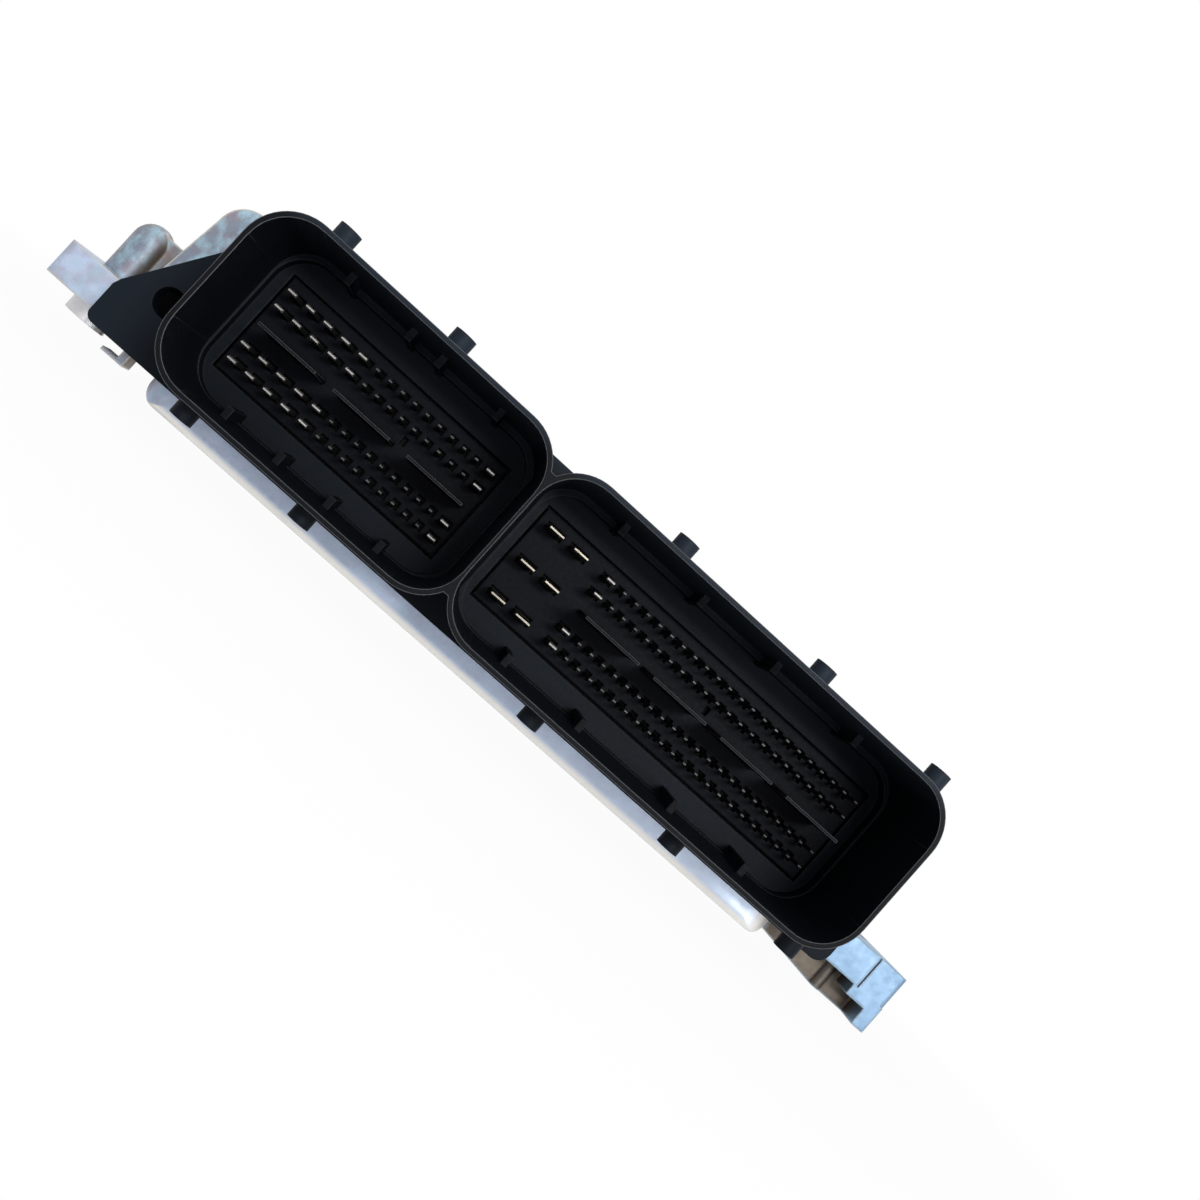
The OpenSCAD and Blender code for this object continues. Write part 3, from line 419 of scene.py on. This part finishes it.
CHIP = moulded("chip_moulding", (0.03, 0.03, 0.032), (0.022, 0.022, 0.024), rough=0.6)
CAN = tinned("drawn_can", (0.72, 0.72, 0.72), (0.6, 0.6, 0.6))
FERRITE = moulded("ferrite_body", (0.075, 0.075, 0.078), (0.05, 0.05, 0.052), rough=0.65)
CERAMIC = moulded("ceramic_body_skin", (0.42, 0.33, 0.21), (0.34, 0.26, 0.16), rough=0.45)
PAD = moulded("pad_silicone_skin", (0.46, 0.47, 0.52), (0.38, 0.39, 0.44), rough=0.8)
STEEL = tinned("zinc_screw", (0.62, 0.62, 0.64), (0.5, 0.5, 0.52))

FINISH = {
    "housing_base": CAST_BASE, "housing_cover": CAST_COVER, "connector_header": HEADER,
    "pin_carrier_60": CARRIER, "pin_carrier_94": CARRIER,
    "signal_pins_60": PIN, "wide_pins_60": WIDE_PIN, "signal_pins_94": PIN, "wide_pins_94": WIDE_PIN,
    "power_blades": BLADE, "header_seal": SEAL, "housing_seal": SEAL, "vent_membrane": MEMBRANE,
    "circuit_board": BOARD, "microcontroller": CHIP, "flash_memory": CHIP, "driver_chips": CHIP,
    "power_transistors": CHIP, "reservoir_capacitors": CAN, "power_inductors": FERRITE,
    "ceramic_capacitors": CERAMIC, "shunt_resistors": CHIP, "crystal": CAN, "pressure_sensor": CHIP,
    "thermal_pad": PAD, "cover_screws": STEEL, "board_screws": STEEL,
}
for name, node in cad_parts.items():
    node.data.materials.clear()
    node.data.materials.append(FINISH[name])


def add_camera():
    """The photograph's camera: it looks into the sockets, and is rolled."""
    yaw = math.radians(CAMERA_YAW)
    pitch = math.radians(CAMERA_PITCH)
    roll = math.radians(CAMERA_ROLL)
    ahead = Vector((math.sin(yaw) * math.cos(pitch), math.cos(yaw) * math.cos(pitch), math.sin(pitch)))
    level = Vector((math.cos(yaw), -math.sin(yaw), 0.0))
    up = level.cross(ahead)
    right = math.cos(roll) * level + math.sin(roll) * up
    top = math.cos(roll) * up - math.sin(roll) * level
    data = bpy.data.cameras.new("photo_camera")
    data.sensor_width = SENSOR_MM
    data.lens = FOCAL_PIXELS / IMAGE_PIXELS * SENSOR_MM
    data.clip_start = 0.01
    data.clip_end = 20.0
    camera = bpy.data.objects.new("photo_camera", data)
    turn = Matrix((right, top, -ahead)).transposed()
    camera.matrix_world = Matrix.Translation(CAMERA_PLACE) @ turn.to_4x4()
    bpy.context.scene.collection.objects.link(camera)
    bpy.context.scene.camera = camera


def seen_rays(tree):
    """1 for rays that show the background: straight to the camera, in a reflection or through glass."""
    path = new_node(tree, "ShaderNodeLightPath")
    seen = path.outputs["Is Camera Ray"]
    for kind in ("Is Glossy Ray", "Is Transmission Ray"):
        either = new_node(tree, "ShaderNodeMath", operation="MAXIMUM")
        tree.links.new(seen, either.inputs[0])
        tree.links.new(path.outputs[kind], either.inputs[1])
        seen = either.outputs[0]
    return seen


def whiten(tree, output, share, lit, white):
    """Makes the output's surface white by share, and lit for the rest."""
    mix = new_node(tree, "ShaderNodeMixShader")
    tree.links.new(share, mix.inputs[0])
    tree.links.new(lit.outputs[0], mix.inputs[1])
    tree.links.new(white.outputs[0], mix.inputs[2])
    tree.links.new(mix.outputs[0], output.inputs["Surface"])


def add_floor():
    """Pale floor: white to the camera, with a soft share of the object's shadow."""
    corners = [(x * FLOOR_HALF, y * FLOOR_HALF, 0) for x, y in ((-1, -1), (1, -1), (1, 1), (-1, 1))]
    mesh = bpy.data.meshes.new("floor")
    mesh.from_pydata(corners, [], [(0, 1, 2, 3)])
    floor = bpy.data.objects.new("floor", mesh)
    floor.location.z = -FLOOR_DROP
    bpy.context.scene.collection.objects.link(floor)
    mat = bpy.data.materials.new("pale_floor")
    mat.use_nodes = True
    tree = mat.node_tree
    tree.nodes.clear()
    lit = new_node(tree, "ShaderNodeBsdfDiffuse", Color=FLOOR_GREY)
    white = new_node(tree, "ShaderNodeEmission", Color=WHITE)
    place = new_node(tree, "ShaderNodeTexCoord")
    away = new_node(tree, "ShaderNodeVectorMath", operation="LENGTH")
    fade = new_node(tree, "ShaderNodeMapRange", From_Min=SHADOW_NEAR, From_Max=SHADOW_FAR,
                    To_Min=WHITE_NEAR, To_Max=WHITE_FAR)
    share = new_node(tree, "ShaderNodeMath", operation="MULTIPLY")
    tree.links.new(place.outputs["Object"], away.inputs[0])
    tree.links.new(away.outputs["Value"], fade.inputs["Value"])
    tree.links.new(seen_rays(tree), share.inputs[0])
    tree.links.new(fade.outputs["Result"], share.inputs[1])
    whiten(tree, new_node(tree, "ShaderNodeOutputMaterial"), share.outputs[0], lit, white)
    mesh.materials.append(mat)


def add_world():
    """Even soft light; white where the background is seen past the object or in it."""
    world = bpy.data.worlds.new("studio")
    bpy.context.scene.world = world
    world.use_nodes = True
    tree = world.node_tree
    tree.nodes.clear()
    soft = new_node(tree, "ShaderNodeBackground", Color=SOFT_LIGHT, Strength=SOFT_STRENGTH)
    white = new_node(tree, "ShaderNodeBackground", Color=WHITE, Strength=1.0)
    whiten(tree, new_node(tree, "ShaderNodeOutputWorld"), seen_rays(tree), soft, white)


def add_area(name, place, aim, size, power):
    """Soft lamp at place, facing aim."""
    data = bpy.data.lights.new(name, "AREA")
    data.shape = "RECTANGLE"
    data.size, data.size_y = size
    data.energy = power
    lamp = bpy.data.objects.new(name, data)
    lamp.location = place
    lamp.rotation_mode = "QUATERNION"
    lamp.rotation_quaternion = (Vector(aim) - Vector(place)).to_track_quat("-Z", "Y")
    bpy.context.scene.collection.objects.link(lamp)


add_camera()
add_floor()
add_world()
for lamp in LAMPS:
    add_area(*lamp)
bpy.context.scene.view_settings.view_transform = "Standard"
